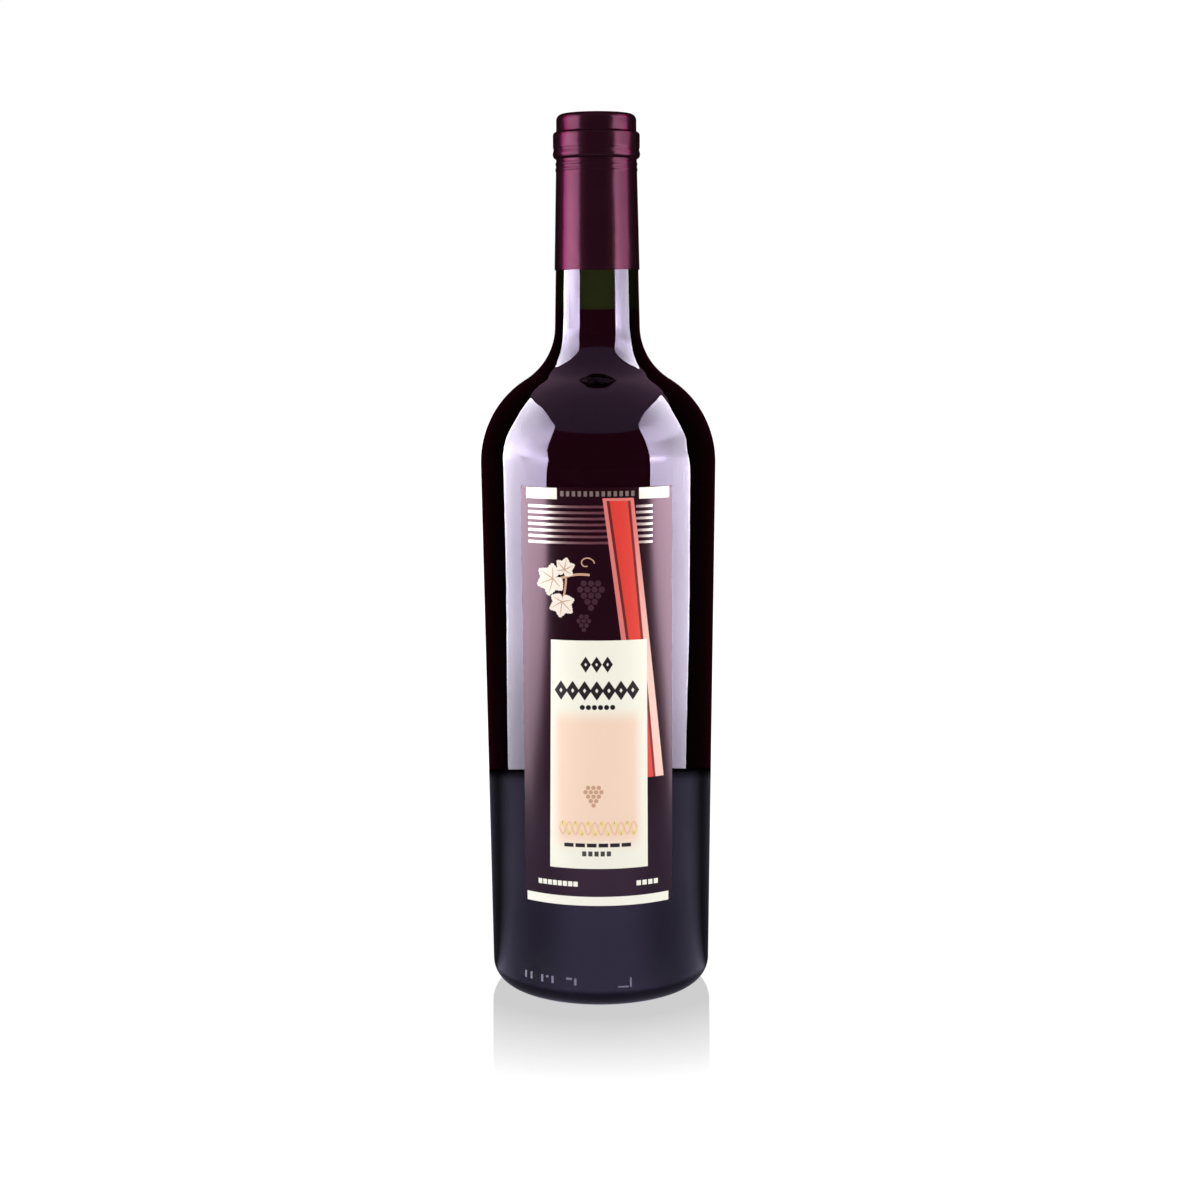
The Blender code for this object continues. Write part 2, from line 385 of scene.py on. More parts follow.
def capsuleOutline(outset):  # soft version of lip, ring and neck, since a sleeve bridges the corners
    look, bend = capsuleLook, form["ringRounding"] + outset
    lip = arc(lipCentre, form["lipRounding"] + outset, pi / 2, 0, 10)
    corner = [(form["lipRadius"] + outset + out, form["ringTop"] + outset + rise)
              for out, rise in look["corner"]]
    ringUpper = arc((ringX, form["ringTop"] - form["ringRounding"]), bend, radians(80), 0, 8)
    ringFoot = form["ringBottom"] - look["ringDrop"]
    ringLower = arc((ringX, ringFoot + form["ringRounding"]), bend, 0, -radians(70), 8)
    side, skirt = [], []
    for step in range(1, 20):
        height = ringUpper[-1][1] + (ringLower[0][1] - ringUpper[-1][1]) * step / 20
        dip = look["grooveDepth"] * bumpAt(height, look["ringGroove"], look["grooveWidth"])
        dip -= look["beadHeight"] * bumpAt(height, look["ringBead"], look["beadWidth"])
        side.append((form["ringRadius"] + outset - dip, height))
    for step in range(26):
        height = ringFoot - outset - look["skirtStart"] - step * look["skirtStep"]
        lift = sum(bumpAt(height, ridge, look["ridgeWidth"]) for ridge in look["ridges"])
        skirt.append((neckRadius(height) + outset + lift * look["ridgeHeight"], height))
    skirt.append((neckRadius(form["capsuleEdge"]) + outset, form["capsuleEdge"]))
    return lip + corner + ringUpper + side + ringLower + skirt


def makeCapsule():
    outset = form["gap"] + form["capsuleWall"]
    outside = [(0.0, glassTop + outset)] + capsuleOutline(outset)
    inside = [(0.0, glassTop + form["gap"])] + capsuleOutline(form["gap"])
    piece = turnPiece("plumCapsule", outside + inside[::-1], makeCapsuleSkin())
    finishPiece(piece, "capsule")


makeGlass()
makeWine()
makeCapsule()
print("glass, wine and capsule turned")


# Print and paper: flat shapes, x across and y up, in metres, bent round the tapered wall by one tree

bendWeld = 0.001 * mm  # points nearer than this become one


def makeBendingTree():
    tree, given = startTree("bendRoundBottle", {
        "Count": "Int", "Step": "Vector", "Thickness": "Float", "Lift": "Float",
        "Foot Radius": "Float", "Taper": "Float", "Finish": "Material"})
    line = addNode(tree, "GeometryNodeMeshLine", links={"Count": given["Count"], "Offset": given["Step"]})
    copies = addNode(tree, "GeometryNodeInstanceOnPoints",
                     links={"Points": line, "Instance": given["Geometry"]})
    flat = addNode(tree, "GeometryNodeRealizeInstances", links={0: copies})
    upward = addNode(tree, "ShaderNodeCombineXYZ", links={"Z": given["Thickness"]})
    top = addNode(tree, "GeometryNodeExtrudeMesh", {"Individual": False, "Offset Scale": 1.0},
                  {"Mesh": flat, "Offset": upward})
    under = addNode(tree, "GeometryNodeFlipFaces", links={0: flat})
    both = addNode(tree, "GeometryNodeJoinGeometry", links={0: top.outputs["Mesh"]})
    link(both, {0: under})
    solid = addNode(tree, "GeometryNodeMergeByDistance", {"Distance": bendWeld}, {"Geometry": both})
    place = addNode(tree, "GeometryNodeInputPosition")
    parts = addNode(tree, "ShaderNodeSeparateXYZ", links={0: place}).outputs
    radius = addNode(tree, "ShaderNodeMath", operation="MULTIPLY_ADD",
                     links={0: parts["Y"], 1: given["Taper"], 2: given["Foot Radius"]})
    angle = addNode(tree, "ShaderNodeMath", operation="DIVIDE", links={0: parts["X"], 1: radius})
    depth = addNode(tree, "ShaderNodeMath", operation="ADD", links={0: parts["Z"], 1: given["Lift"]})
    far = addNode(tree, "ShaderNodeMath", operation="ADD", links={0: radius, 1: depth})
    front = addNode(tree, "ShaderNodeMath", {1: -1.0}, {0: far}, operation="MULTIPLY")
    facing = addNode(tree, "ShaderNodeCombineXYZ", links={"Y": front, "Z": parts["Y"]})
    turned = addNode(tree, "ShaderNodeVectorRotate", rotation_type="Z_AXIS",
                     links={"Vector": facing, "Angle": angle})
    bent = addNode(tree, "GeometryNodeSetPosition",
                   links={"Geometry": solid, "Position": turned})
    endTree(tree, bent, given["Finish"])
    return tree


bendingTree = makeBendingTree()


def bendPiece(name, shape, finish, lift, thickness, count=1, step=(0, 0, 0)):
    piece = meshObject(name, shape[0], faces=shape[1])
    values = {"Count": count, "Step": step, "Thickness": thickness, "Lift": lift, "Finish": finish,
              "Foot Radius": wallRadius(0.0), "Taper": wallRadius(1.0) - wallRadius(0.0)}
    return makePlain(piece, bendingTree, values)


ringStep, columnStep = 0.9, 1.2  # mm, faces small enough to follow the wall


def gridFaces(rows, width):  # faces between rows of points
    starts = [row * width + column for row in range(rows - 1) for column in range(width - 1)]
    return [(a, a + 1, a + width + 1, a + width) for a in starts]


def stripShape(left, right, low, high, columns, rows):  # left and right are numbers or functions of height
    points = []
    for r in range(rows + 1):
        y = low + (high - low) * r / rows
        x0 = left(y) if callable(left) else left
        x1 = right(y) if callable(right) else right
        points += [((x0 + (x1 - x0) * c / columns) * mm, y * mm, 0.0) for c in range(columns + 1)]
    return points, gridFaces(rows + 1, columns + 1)


def fanShape(x, y, radii, turn=0.0, bore=0.0):  # a rounded shape in rings; bore leaves a hole
    count = len(radii)
    rings = max(1, round(max(radii) / ringStep))
    points = [] if bore else [(x * mm, y * mm, 0.0)]
    for ring in range(0 if bore else 1, rings + 1):
        share = bore + (1 - bore) * ring / rings
        for i, r in enumerate(radii):
            angle = turn + 2 * pi * i / count
            points.append(((x + r * share * cos(angle)) * mm, (y + r * share * sin(angle)) * mm, 0.0))
    faces = [] if bore else [(0, i + 1, (i + 1) % count + 1) for i in range(count)]
    first = 0 if bore else 1
    for ring in range(rings if bore else rings - 1):
        a = first + ring * count
        for i in range(count):
            after = (i + 1) % count
            faces.append((a + i, a + count + i, a + count + after, a + after))
    return points, faces


def joinShapes(shapes):
    points, faces = [], []
    for more, these in shapes:
        faces += [tuple(i + len(points) for i in face) for face in these]
        points += more
    return points, faces


# Finishes of the label: coated paper printed near black, inks and a silver ink that mirrors the lights softly

labelLook = {
    "ior": 1.5,
    "paper": "140810", "paperDeep": "0B0509",
    "paperTint": "E0B4CC", "paperShine": 0.45, "paperRoughness": 0.18,
    "fibre": 0.28,  # mm, paper fibres under the varnish
    "cloudSize": 11.0,  # mm, slow changes of its black
    "wearSpread": 0.04,  # how far the fine mottle changes a roughness
    "wearDepth": 0.012 * mm,
    "inkRoughness": 0.40, "inkShine": 0.28, "inkGrain": 0.4,
    "cream": "E4E2D2", "peach": "E6C8B0", "creamRoughness": 0.46,
    "peachAcross": (-0.8, 11.5, 4.5), "peachUp": (80.0, 18.5, 7.0),  # mm: middle, half width, soft edge
    "paleFade": (118 * mm, 164 * mm),
}

inkColours = {
    "silver": "8C8682", "scarlet": "D42C1A", "deepRed": "5E0604", "pink": "D46C66", "pale": "E9BDAE",
    "white": "E9E7DA", "black": "0C0608", "grey": "3A3432", "paleGold": "E2C88E", "tan": "BC9478",
    "rose": "E0B49C", "dim": "6E5F5A", "ivory": "E6DACC", "plum": "320F1E",
}
inkChanges = {"silver": {"roughness": 0.30, "metallic": 1.0}, "scarlet": {"mottle": 0.10}}


def startPrinted(name, values, grain, roughness, relief):  # every printed finish has the same fine mottle
    made, tree, shader = startMaterial(name, {"IOR": labelLook["ior"], **values})
    place = addNode(tree, "ShaderNodeTexCoord").outputs["Object"]
    spots = addNode(tree, "ShaderNodeTexNoise", {"Scale": 1 / (grain * mm), "Detail": 3.0}, {"Vector": place})
    low, high = roughness - labelLook["wearSpread"], roughness + labelLook["wearSpread"]
    rough = addNode(tree, "ShaderNodeMapRange", span(0, 1, low, high), {"Value": spots})
    bump = addNode(tree, "ShaderNodeBump", {"Strength": relief, "Distance": labelLook["wearDepth"]},
                   {"Height": spots})
    link(shader, {"Roughness": rough, "Normal": bump})
    return made, tree, shader, place, spots


def makeInk(name, code, roughness=labelLook["inkRoughness"], metallic=0.0, mottle=0.06):  # offset ink
    values = {"Specular IOR Level": labelLook["inkShine"], "Metallic": metallic}
    made, tree, shader, _, spots = startPrinted(name, values, labelLook["inkGrain"], roughness, 0.25)
    tone = addNode(tree, "ShaderNodeMapRange", span(0, 1, 1 - mottle, 1 + mottle), {"Value": spots})
    colour = addNode(tree, "ShaderNodeHueSaturation", {"Color": code}, {"Value": tone})
    link(shader, {"Base Color": colour})
    return made


def makeVarnishedPaper():
    look = labelLook
    values = {"Specular IOR Level": look["paperShine"], "Specular Tint": look["paperTint"]}
    made, tree, shader, place, _ = startPrinted("varnishedDarkPaper", values, look["fibre"],
                                                look["paperRoughness"], 0.3)
    clouds = addNode(tree, "ShaderNodeTexNoise", {"Scale": 1 / (look["cloudSize"] * mm), "Detail": 2.0},
                     {"Vector": place})
    colour = addNode(tree, "ShaderNodeMix", {6: look["paperDeep"], 7: look["paper"]}, {0: clouds},
                     data_type="RGBA")
    link(shader, {"Base Color": colour.outputs[2]})
    return made


def fadeFrom(tree, value, middle, half, soft):  # 1 within half of the middle, falling to 0 over soft, in mm
    off = addNode(tree, "ShaderNodeMath", {1: middle * mm}, {0: value}, operation="SUBTRACT")
    away = addNode(tree, "ShaderNodeMath", links={0: off}, operation="ABSOLUTE")
    return addNode(tree, "ShaderNodeMapRange", span(half * mm, (half + soft) * mm, 1, 0), {"Value": away},
                   **smooth)


def makePanelInk():  # cream field that warms to peach in its middle
    look = labelLook
    made, tree, shader, place, spots = startPrinted("creamInkField", {}, look["fibre"],
                                                    look["creamRoughness"], 0.25)
    parts = addNode(tree, "ShaderNodeSeparateXYZ", links={0: place}).outputs
    share = addNode(tree, "ShaderNodeMath", operation="MULTIPLY", links={
        0: fadeFrom(tree, parts["X"], *look["peachAcross"]), 1: fadeFrom(tree, parts["Z"], *look["peachUp"])})
    colour = addNode(tree, "ShaderNodeMix", {6: look["cream"], 7: look["peach"]}, {0: share},
                     data_type="RGBA")
    tone = addNode(tree, "ShaderNodeMapRange", span(0, 1, 0.975, 1.02), {"Value": spots})
    printed = addNode(tree, "ShaderNodeHueSaturation", links={"Color": colour.outputs[2], "Value": tone})
    link(shader, {"Base Color": printed})
    return made


def fadeInk(ink, low, high):  # from one colour below to another at the top of the ribbon
    tree = ink.node_tree
    place = tree.nodes["Texture Coordinate"].outputs["Object"]
    parts = addNode(tree, "ShaderNodeSeparateXYZ", links={0: place}).outputs
    share = addNode(tree, "ShaderNodeMapRange", span(*labelLook["paleFade"]), {"Value": parts["Z"]})
    colour = addNode(tree, "ShaderNodeMix", {6: low, 7: high}, {0: share},
                     data_type="RGBA")
    link(tree.nodes["Hue/Saturation/Value"], {"Color": colour.outputs[2]})


inks = {name: makeInk(name + "Ink", code, **inkChanges.get(name, {})) for name, code in inkColours.items()}
fadeInk(inks["pale"], inkColours["pale"], inkColours["pink"])


# The label and what is printed on it; across is mm round the glass, high is mm above the floor

plan = {
    "paper": (-27.5, 26.0, 36.5, 177.5),
    "paperLift": 0.02 * mm, "paperThickness": 0.16 * mm,
    "printLift": 0.172 * mm,
    "inkThickness": 0.03 * mm,
    "panelThickness": 0.07 * mm,
    "bars": ((-25.3, -13.8, 173.6, 177.3), (13.5, 24.7, 173.6, 177.3), (-26.8, 24.4, 36.8, 39.9)),
    "stripe": ((-24.5, 5.0), (12.4, 18.3)),
    "stripeTop": 171.6, "stripeHeight": 0.84, "stripeStep": 1.97, "stripeCount": 7,
    "ribbonTop": 174.0, "ribbonEnd": 80.2, "scarletTop": 173.1,
    "ribbonOuter": ((1.3, 13.2), (11.6, 22.4)),  # left and right edge, each at top and end
    "ribbonRed": ((2.6, 15.4), (10.5, 19.3)),
    "threads": ((0, -0.1, 0.85), (1, -0.95, -0.15)),  # edge of the red, and both sides from it
    "edgeLift": 0.008 * mm,  # lifts are over the first print
    "scarletLift": 0.036 * mm, "scarletThickness": 0.012 * mm,
    "threadLift": 0.046 * mm, "threadThickness": 0.010 * mm,
    "panel": ((-17.4, -16.3), (16.25, 16.1), 49.6, 127.0),  # left and right edge, each at foot and top
    "leafLift": 0.034 * mm, "veinLift": 0.066 * mm, "veinThickness": 0.01 * mm,
    "waveLift": 0.01 * mm,
}


def bendPrint(name, shapes, ink, lift=0.0, thickness=plan["inkThickness"], count=1, step=(0, 0, 0)):
    piece = bendPiece(name, joinShapes(shapes), ink, plan["printLift"] + lift, thickness, count,
                      tuple(v * mm for v in step))
    finishPiece(piece)


def slanted(ends, start, stop, shift=0.0):  # a slanting edge, as a function of height
    return lambda y: ends[0] + shift + (ends[1] - ends[0]) * (y - start) / (stop - start)


def makeLabel():
    left, right, low, high = plan["paper"]
    sheet = stripShape(left, right, low, high, 64, 60)
    label = bendPiece("darkLabel", sheet, makeVarnishedPaper(), plan["paperLift"],
                      plan["paperThickness"])
    finishPiece(label, "front_label")


def barShape(left, right, low, high, columns):
    return stripShape(left, right, low, high, max(columns, round((right - left) / columnStep)), 1)


def makeSilverPrint():
    bendPrint("whiteBars", [barShape(*bar, 8) for bar in plan["bars"]], inks["white"])
    top = plan["stripeTop"]
    low = top - plan["stripeHeight"]
    pair = [barShape(left, right, low, top, 6) for left, right in plan["stripe"]]
    bendPrint("silverStripes", pair, inks["silver"], count=plan["stripeCount"],
              step=(0, -plan["stripeStep"], 0))


def makeRibbon():
    top, end, redTop = plan["ribbonTop"], plan["ribbonEnd"], plan["scarletTop"]
    left, right = [slanted(ends, top, end) for ends in plan["ribbonOuter"]]
    redLeft, redRight = [slanted(ends, top, end) for ends in plan["ribbonRed"]]
    bendPrint("ribbonEdge", [stripShape(left, redRight, end, top, 8, 60)], inks["pink"], plan["edgeLift"])
    bendPrint("ribbonBand", [stripShape(redRight, right, end, top, 3, 60)], inks["pale"], plan["edgeLift"])
    bendPrint("scarletRibbon", [stripShape(redLeft, redRight, end, redTop, 8, 60)], inks["scarlet"],
              plan["scarletLift"], plan["scarletThickness"])
    threads = []
    for side, near, far in plan["threads"]:
        edges = [slanted(plan["ribbonRed"][side], top, end, shift) for shift in (near, far)]
        threads.append(stripShape(*edges, end, redTop, 1, 40))
    bendPrint("ribbonThreads", threads, inks["deepRed"], plan["threadLift"], plan["threadThickness"])


def makePanel():
    left, right, low, high = plan["panel"]
    field = stripShape(slanted(left, low, high), slanted(right, low, high), low, high, 40, 40)
    bendPrint("creamPanel", [field], makePanelInk(), 0.0, plan["panelThickness"])


# Ornaments, all plain and generic: vine, lozenges, dots, wave and rules

def disc(x, y, radius, sides=14):
    return fanShape(x, y, [radius] * sides)


def lozenge(x, y, width, height, bore=0.0):  # solid, or a ring when bore is above 0
    angles = [2 * pi * i / 24 for i in range(24)]
    radii = [1 / (abs(cos(a)) * 2 / width + abs(sin(a)) * 2 / height) for a in angles]
    return fanShape(x, y, radii, 0.0, bore)


def ribbonAlong(path, widths):  # a flat band along points, each with its own width
    points, faces = [], []
    for i, (x, y) in enumerate(path):
        a, b = path[max(0, i - 1)], path[min(len(path) - 1, i + 1)]
        across, up = a[1] - b[1], b[0] - a[0]
        scale = widths[i] / 2 / hypot(across, up)
        points += [((x - across * scale) * mm, (y - up * scale) * mm, 0.0),
                   ((x + across * scale) * mm, (y + up * scale) * mm, 0.0)]
        if i:
            faces.append((2 * i - 2, 2 * i, 2 * i + 1, 2 * i - 1))
    return points, faces


leafOutline = ((0, 1.0), (12, 0.86), (26, 0.72), (38, 0.82), (52, 0.96), (64, 0.78), (82, 0.60), (96, 0.70),
               (110, 0.80), (124, 0.66), (142, 0.56), (158, 0.50), (170, 0.38), (180, 0.12))


def vineLeaf(x, y, size, turn):  # five pointed lobes and a notch where the stalk comes in
    radii = []
    for i in range(72):
        angle = abs((i * 5 + 180) % 360 - 180)
        before = max(p for p in leafOutline if p[0] <= angle)
        after = min(p for p in leafOutline if p[0] >= angle)
        share = (angle - before[0]) / (after[0] - before[0]) if after[0] > before[0] else 0
        tooth = 0.03 * (1 if i % 2 else -1)
        radii.append(size * (before[1] + (after[1] - before[1]) * share + tooth))
    return fanShape(x, y, radii, radians(turn))


def leafVeins(x, y, size, turn):
    veins = []
    for lean, far in ((0, 0.86), (52, 0.80), (-52, 0.80), (110, 0.62), (-110, 0.62)):
        angle = radians(turn + lean)
        path = [(x + size * far * t * cos(angle), y + size * far * t * sin(angle)) for t in shares(4)]
        veins.append(ribbonAlong(path, [0.42, 0.38, 0.32, 0.24, 0.10]))
    return veins


def bunch(x, y, step, radius, rows):  # grapes in rows that narrow downwards
    return [disc(x + (i - (count - 1) / 2) * step, y - r * step * 0.86, radius)
            for r, count in enumerate(rows) for i in range(count)]


def makeVine():
    stem = [(-13.5 + 10.5 * t, 147.3 + 0.9 * sin(2.8 * t) + 1.2 * t) for t in shares(20)]
    tail = [(-10.9 - 1.3 * t * t, 147.7 - 7.6 * t) for t in shares(14)]
    stalk = [(-10.0 - 1.2 * t, 148.0 + 2.2 * t) for t in shares(5)]
    curl = [(-4.0 + 2.6 * cos(1.6 * pi * t) * (1 - 0.6 * t), 152.6 + 2.2 * sin(1.6 * pi * t) * (1 - 0.6 * t))
            for t in shares(18)]
    widths = ((stem, 0.8), (tail, 0.7), (stalk, 0.7), (curl, 0.4))
    bendPrint("vineStem", [ribbonAlong(path, [width] * len(path)) for path, width in widths], inks["tan"])
    leaves = [(-15.4, 147.4, 6.4, 202), (-11.4, 150.4, 4.2, 78), (-12.3, 139.8, 5.4, 262)]
    bendPrint("vineLeaves", [vineLeaf(*leaf) for leaf in leaves], inks["ivory"], plan["leafLift"])
    veins = [vein for leaf in leaves for vein in leafVeins(*leaf)]
    bendPrint("leafVeins", veins, inks["tan"], plan["veinLift"], plan["veinThickness"])
    grapes = bunch(-2.6, 146.0, 2.35, 1.05, (3, 4, 3, 2, 1)) + bunch(-5.0, 135.0, 1.7, 0.75, (2, 3, 2, 1))
    bendPrint("vineGrapes", grapes, inks["plum"])


def makeOrnaments():
    panel, steps = plan["panelThickness"], shares(16)
    wave = [(-13.8 + 4.4 * t, 63.4 + 2.1 * sin(2 * pi * t)) for t in steps]
    waveWidths = [0.55 + 0.75 * sin(pi * t) for t in steps]
    other = [(-13.8 + 4.4 * t, 63.4 - 2.1 * sin(2 * pi * t)) for t in steps]
    rows = (  # what is repeated, its ink and lift, how often, and the step across in mm
        ("threeLozenges", [lozenge(-4.5, 119.0, 3.5, 5.4, 0.24)], "black", panel, 3, 3.6),
        ("lozengeBand", [lozenge(-12.9, 110.2, 4.5, 6.6, 0.24)], "black", panel, 7, 4.0),
        ("dotRow", [disc(-5.7, 104.6, 0.86)], "black", panel, 6, 2.0),
        ("paleBunch", bunch(-2.2, 77.4, 1.75, 0.74, (3, 4, 3, 2, 1)), "tan", panel, 1, 0),
        ("goldWave", [ribbonAlong(wave, waveWidths)], "paleGold", panel, 6, 4.35),
        ("crossingWave", [ribbonAlong(other, [0.5] * 17)], "rose", panel + plan["waveLift"], 6, 4.35),
        ("blackRule", [stripShape(-12.2, -9.0, 57.0, 58.3, 3, 1)], "black", panel, 6, 3.86),
        ("greyRule", [stripShape(-6.1, -4.7, 53.9, 55.6, 2, 1)], "grey", panel, 5, 2.05),
        ("leftDashes", [stripShape(-22.0, -20.5, 43.3, 45.0, 2, 1)], "white", 0.0, 8, 1.83),
        ("rightDashes", [stripShape(12.2, 13.8, 43.3, 45.0, 2, 1)], "white", 0.0, 4, 2.1),
        ("dimDashes", [stripShape(-12.6, -11.5, 174.6, 176.3, 2, 1)], "dim", 0.0, 13, 1.95),
    )
    for name, shapes, ink, lift, count, step in rows:
        bendPrint(name, shapes, inks[ink], lift, count=count, step=(step, 0, 0))


# Short raised marks of the mould, low on the wall, slightly frosted, and painted a light bluish grey as a
# painted glint for the light they catch

heelMarks = {
    # painted glint: both colours are lighter than the glass and stand in for the light the marks catch
    "colour": "454352", "glintColour": "74718A",
    "roughness": 0.42, "grain": 0.5,
    "lift": -0.12 * mm, "thickness": 0.34 * mm,  # it starts inside the wall
    # left edge, width, foot and top in mm
    "marks": ((-28.4, 0.8, 9.0, 11.4), (-25.9, 0.8, 9.0, 11.4), (-21.4, 0.8, 8.8, 11.2),
              (-19.5, 0.9, 10.5, 11.2), (-17.4, 0.8, 8.8, 11.2), (-12.0, 2.0, 10.6, 11.3),
              (-9.2, 0.8, 8.8, 11.2), (5.8, 3.6, 8.1, 8.6), (9.8, 0.6, 8.1, 11.4)),
}


def makeHeelTicks():
    look = heelMarks
    made, tree, shader, _, glintMottle = startPrinted("glintPaintedGlassMarks", {"IOR": glassLook["ior"]}, look["grain"],
                                               look["roughness"], 0.3)
    # painted glint, mottled at random between its two light colours
    colour = addNode(tree, "ShaderNodeMix", {6: look["colour"], 7: look["glintColour"]}, {0: glintMottle},
                     data_type="RGBA")
    link(shader, {"Base Color": colour.outputs[2]})
    marks = [stripShape(x, x + wide, low, high, 3, 4) for x, wide, low, high in look["marks"]]
    piece = bendPiece("heelTicks", joinShapes(marks), made, look["lift"], look["thickness"])
    finishPiece(piece)


makeHeelTicks()
makeLabel()
makeSilverPrint()
makeRibbon()
makePanel()
makeVine()
makeOrnaments()
print("label and its print bent round the wall")


# Studio: camera, even light, two tall soft boxes, and dark screens that only reflections see

studio = {
    "lens": 63.0, "distance": 722 * mm, "eyeHeight": 234.7 * mm,
    "pitch": 7.86, "yaw": 0.028, "roll": -0.33,  # degrees
    "background": 1.02,
    "fillPower": 0.5, "fillSize": (0.6, 0.8), "fillPlace": (0.9, -60, 0.5), "fillAim": (0, 0, 0.15),
    # soft boxes: height in mm, then inner and outer edge in degrees from the camera
    "leftBox": ((-220, -92, -106), (-50, -70, -106), (-13, -60.5, -105), (24, -54, -103.5), (60, -50.5, -102),
                (130, -49.5, -102), (250, -47.5, -103.5), (350, -50.5, -105.5), (500, -50.5, -107),
                (600, -50.8, -112), (705, -52, -120.5), (748, -57, -126), (800, -64, -118), (850, -71, -107),
                (905, -84, -90)),
    "rightBox": ((-220, 92, 97), (-50, 73, 96.5), (-13, 68, 97.5), (24, 61, 98.8), (60, 54, 99),
                 (90, 51, 98.5), (130, 49.5, 98), (200, 49.8, 96.5), (260, 50, 95), (300, 50, 96),
                 (350, 49.5, 99), (500, 49, 101), (600, 48.2, 105), (652, 48, 109), (760, 52, 119.5),
                 (798, 55, 126), (856, 60, 119), (920, 69, 107), (969, 76, 94)),
    "boxDistance": 600 * mm,
    "boxPower": 17.0,
    "boxColumns": (0.0, 0.15, 0.3, 0.5, 0.7, 0.85, 0.95, 0.96, 1.0),
    "boxRim": 0.955, "rimPower": 1.35,  # the thin bright strip starts there
    # share of that power by height in mm: brightest beside the neck, weak near the table
    "leftPower": ((-220, 0.30), (-60, 0.36), (-38, 0.42), (-13, 0.50), (25, 0.72), (75, 0.78), (100, 0.86),
                  (140, 1.05), (200, 1.10), (245, 1.45), (300, 1.45), (360, 1.15), (500, 1.0), (600, 0.86),
                  (1060, 0.75)),
    "rightPower": ((-220, 0.40), (-60, 0.50), (-38, 0.58), (-13, 0.72), (25, 0.84), (75, 0.88), (100, 0.95),
                   (140, 1.10), (200, 1.15), (245, 1.45), (300, 1.45), (360, 1.25), (500, 1.05), (600, 0.95),
                   (1060, 0.85)),
    # and what it is multiplied by at the inner edge, the middle and the outer edge
    "leftAcross": ((200, 1, 1, 1), (250, 1.2, 0.6, 1.4), (280, 0.72, 1.2, 0.9), (400, 0.72, 1.2, 0.9),
                   (470, 1, 1, 1), (600, 1, 1, 1), (700, 0.7, 1, 1.1)),
    "rightAcross": ((200, 1, 1, 1), (250, 1.8, 0.7, 0.5), (280, 0.85, 0.55, 0.55), (400, 0.85, 0.55, 0.55),
                    (470, 1, 1, 1), (600, 1, 1, 1), (700, 0.5, 0.85, 1.1)),
    "roomRadius": 1420 * mm, "roomHeight": 1500 * mm, "roomHalf": 171,  # degrees to each side
    "roomShares": (("screenFront", 1.0), ("screenBack", 0.07)), "backStart": -0.2,
    "ceilingHeight": 1190 * mm, "ceilingRadius": 1310 * mm, "ceilingBack": 1120 * mm,
    "ceilingTurn": (100, 30),  # degrees: where it narrows, and over how much
    "plumDark": (0.38, 0.035, 0.12),
    "ceilingGlow": (0.66, 0.38, 0.56),
}


def makeGlow(name, colour, power):  # plain emission
    made, tree, shader = startMaterial(name, {})
    tree.nodes.remove(shader)
    glow = addNode(tree, "ShaderNodeEmission", {"Color": (*colour, 1), "Strength": power})
    link(tree.nodes["Material Output"], {"Surface": glow})
    return made


def makeScreen(name, points, faces, *finishes):  # only reflections see it
    piece = meshObject(name, points, faces=faces)
    for finish in finishes:
        piece.data.materials.append(finish)
    for ray in ("camera", "diffuse", "transmission", "volume_scatter", "shadow"):
        setattr(piece, "visible_" + ray, False)
    return piece


def around(radius, degrees, height):  # a place by its angle from the camera's side
    angle = radians(degrees)
    return Vector((radius * sin(angle), -radius * cos(angle), height))


def between(table, height):  # values of a table of rows, read off between two of its heights
    before = max([row for row in table if row[0] <= height] or [table[0]])
    after = min([row for row in table if row[0] >= height] or [table[-1]])
    share = (height - before[0]) / (after[0] - before[0]) if after[0] > before[0] else 0.0
    return [a + (b - a) * share for a, b in zip(before[1:], after[1:])]


def makeSoftBox(name, rows, profile, spread):  # its cloth is brighter in a thin strip along the outer edge
    columns = studio["boxColumns"]
    heights = [row[0] for row in rows]
    heights = sorted(set(heights + [row[0] for row in profile + spread if heights[0] < row[0] < heights[-1]]))
    points, glow = [], []
    for height in heights:
        inner, outer = between(rows, height)
        first, middle, last = between(spread, height)
        for share in columns:
            points.append(around(studio["boxDistance"], inner + (outer - inner) * share, height * mm))
            side = first + (middle - first) * share * 2
            if share >= 0.5:
                side = middle + (last - middle) * (share * 2 - 1)
            rim = studio["rimPower"] if share > studio["boxRim"] else 1.0
            glow.append(between(profile, height)[0] * side * rim)
    made = makeGlow(name + "Cloth", (1, 1, 1), 1.0)
    tree = made.node_tree
    cloth = addNode(tree, "ShaderNodeAttribute", attribute_name="cloth")
    strength = addNode(tree, "ShaderNodeMath", {1: studio["boxPower"]}, {0: cloth.outputs["Fac"]},
                       operation="MULTIPLY")
    link(tree.nodes["Emission"], {"Strength": strength})
    box = makeScreen(name, points, gridFaces(len(heights), len(columns)), made)
    box.data.attributes.new("cloth", "FLOAT", "POINT").data.foreach_set("value", glow)


